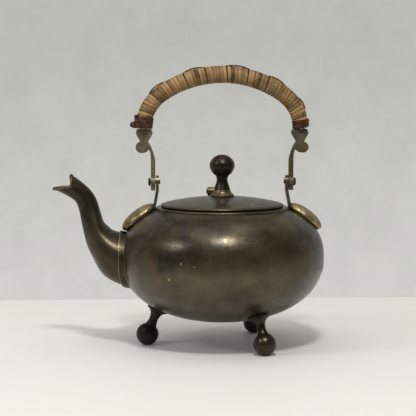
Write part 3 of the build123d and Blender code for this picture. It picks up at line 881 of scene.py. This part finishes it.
loops = cut_loops(nodes["spout"].data)
print("cut lines of", [len(line) for line in loops], "points")

# %% [markdown]
# ## The lip of the beak
# On the real spout the cut edge is smoothed into a small round lip, thicker at the upper tip.
# Points at equal steps on the outer and the inner line are averaged and smoothed, which gives the
# path, and a round section runs along it.

# %% Beak lip
lip_radius = 0.75 * MM
lip_swell = 0.65 * MM
lip_steps = 96
lip_sides = 10
smoothings = 2


def even_points(line, count):
    """Points at equal steps along a closed line, from its highest place towards +Y."""
    top = max(range(len(line)), key=lambda i: line[i].z)
    line = line[top:] + line[:top]
    if line[2].y < line[-2].y:
        line = line[:1] + line[:0:-1]
    line = line + line[:1]
    lengths = [0.0]
    for first, second in zip(line, line[1:]):
        lengths.append(lengths[-1] + (second - first).length)
    spots = []
    for i in range(count):
        goal = lengths[-1] * i / count
        k = max(j for j in range(len(lengths) - 1) if lengths[j] <= goal)
        share = (goal - lengths[k]) / (lengths[k + 1] - lengths[k])
        spots.append(line[k].lerp(line[k + 1], share))
    return spots


outer_line, inner_line = (even_points(line, lip_steps) for line in loops[:2])
lip_path = [(first + second) / 2 for first, second in zip(outer_line, inner_line)]
for _ in range(smoothings):
    lip_path = [(lip_path[i - 1] + lip_path[i] * 2 + lip_path[(i + 1) % lip_steps]) / 4
                for i in range(lip_steps)]
lip_rings = []
for i in range(lip_steps + 1):
    here = lip_path[i % lip_steps]
    ahead = (lip_path[(i + 1) % lip_steps] - lip_path[(i - 1) % lip_steps]).normalized()
    level_way = ahead.cross(Vector((1, 0, -1)).normalized()).normalized()
    upright_way = ahead.cross(level_way)
    near_top = max(0.0, math.cos(2 * math.pi * i / lip_steps)) ** 6
    radius = lip_radius + lip_swell * near_top
    turn = [2 * math.pi * j / lip_sides for j in range(lip_sides)]
    lip_rings.append([here + (level_way * math.cos(a) + upright_way * math.sin(a)) * radius
                      for a in turn])
lip = skin_rings("beak_lip", lip_rings, close_ends=False)
lip.data.materials.append(lip_brass)
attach(lip, "pot")
print("lip ready with", len(lip_rings), "rings")

# %% [markdown]
# ## Table and wall
# The teapot stands on a pale table in front of a pale wall. The wall glows with its own mottled
# grey, darker upwards as a painted fall-off of light, to the camera and a little dimmer to
# reflections, through Light Path, so no lamp has to light it. From behind the wall is clear, so
# that the back can be looked at.

# %% Stage
def stage_sheet(name, outline, colour, rough, top_colour=None):
    """A flat sheet that isn't part of the object, plain or glowing up to a second colour."""
    mesh = bpy.data.meshes.new(name)
    mesh.from_pydata(outline, [], [(0, 1, 2, 3)])
    sheet = bpy.data.objects.new(name, mesh)
    bpy.context.scene.collection.objects.link(sheet)
    material = bpy.data.materials.new(name)
    material.use_nodes = True
    tree = material.node_tree
    shader = tree.nodes["Principled BSDF"]
    shader.inputs["Base Color"].default_value = (*colour, 1)
    shader.inputs["Roughness"].default_value = rough
    if top_colour:
        path = add(tree, "LightPath")
        seen = maths(tree, "MAXIMUM", path.outputs["Is Camera Ray"], maths(
            tree, "MAXIMUM", path.outputs["Is Glossy Ray"], path.outputs["Is Transmission Ray"]))
        plain = add(tree, "Emission")
        tree.links.new(maths(tree, "MAXIMUM", path.outputs["Is Camera Ray"], mirrored_share),
                       plain.inputs["Strength"])
        place = add(tree, "TexCoord").outputs["Object"]
        parts = add(tree, "SeparateXYZ")
        tree.links.new(place, parts.inputs[0])
        # Painted light: the wall's glow darkens upwards, as light falling off.
        height = ramp(tree, maths(tree, "MULTIPLY", parts.outputs["Z"], fade_per_metre),
                      (0, colour), (1, top_colour))
        weave = add(tree, "TexNoise", Scale=26.0, Detail=6.0, Roughness=0.7)
        tree.links.new(place, weave.inputs["Vector"])
        mottle = ramp(tree, weave.outputs["Fac"], (0.3, 0.94), (0.7, 1.05))
        tree.links.new(mixed(tree, 1.0, height, mottle, "MULTIPLY"), plain.inputs["Color"])
        either = add(tree, "MixShader")
        tree.links.new(seen, either.inputs[0])
        tree.links.new(shader.outputs[0], either.inputs[1])
        tree.links.new(plain.outputs[0], either.inputs[2])
        outside = add(tree, "MixShader")
        tree.links.new(add(tree, "NewGeometry").outputs["Backfacing"], outside.inputs[0])
        tree.links.new(either.outputs[0], outside.inputs[1])
        tree.links.new(add(tree, "BsdfTransparent").outputs[0], outside.inputs[2])
        tree.links.new(outside.outputs[0], tree.nodes["Material Output"].inputs["Surface"])
    sheet.data.materials.append(material)
    return sheet


mirrored_share = 0.72
fade_per_metre = 5.0
table_back = 0.196
table_front = -0.34
table_half = 1.2
wall_half = 3
wall_foot = -1
wall_top = 3
table = stage_sheet("table", [(-table_half, table_front, 0), (table_half, table_front, 0),
                              (table_half, table_back, 0), (-table_half, table_back, 0)],
                    (0.62, 0.615, 0.59), rough=0.5)
wall = stage_sheet("wall", [(-wall_half, table_back, wall_foot),
                            (wall_half, table_back, wall_foot),
                            (wall_half, table_back, wall_top),
                            (-wall_half, table_back, wall_top)],
                   (0.64, 0.635, 0.605), rough=0.85, top_colour=(0.5, 0.5, 0.47))
print("stage ready:", table.name, "and", wall.name)

# %% [markdown]
# ## Light
# A small soft lamp high in front gives the gold highlight on the body, one far to the left a
# weaker highlight beside it, and a wide lamp above lights everything evenly.

# %% Lamps
def soft_lamp(name, place, target, size, power):
    """A rectangular area lamp that looks at a point."""
    data = bpy.data.lights.new(name, "AREA")
    data.shape = "RECTANGLE"
    data.size, data.size_y = size
    data.energy = power
    lamp = bpy.data.objects.new(name, data)
    lamp.location = place
    lamp.rotation_euler = (Vector(target) - Vector(place)).to_track_quat("-Z", "Y").to_euler()
    bpy.context.scene.collection.objects.link(lamp)
    return lamp


pot_middle = (axis_x, 0, 0.07)
lamps = [
    soft_lamp("front_lamp", (axis_x, -0.8, 1.25), pot_middle, (0.2, 0.15), 12),
    soft_lamp("side_lamp", (axis_x - 1.06, -0.56, 0.9), pot_middle, (0.22, 0.22), 4),
    soft_lamp("top_lamp", (axis_x - 0.1, 0.1, 1.5), pot_middle, (1.6, 1.2), 7.5),
]
print("lamps:", [lamp.name for lamp in lamps])

# %% [markdown]
# ## The room
# The world stands for the room. It fills the shadows with pale light, but in reflections it is
# dark, so the body keeps the dark band between the table's image and the lamps' images.

# %% Room
world = bpy.data.worlds.new("room")
world.use_nodes = True
room = world.node_tree
path = add(room, "LightPath")
seen = mixed(room, path.outputs["Is Camera Ray"], (0.7, 0.7, 0.68), (0.56, 0.55, 0.52))
seen = mixed(room, path.outputs["Is Glossy Ray"], seen, (0.06, 0.06, 0.057))
room.links.new(seen, room.nodes["Background"].inputs["Color"])
bpy.context.scene.world = world
bpy.context.scene.view_settings.view_transform = "Standard"
print("room ready, view transform Standard")
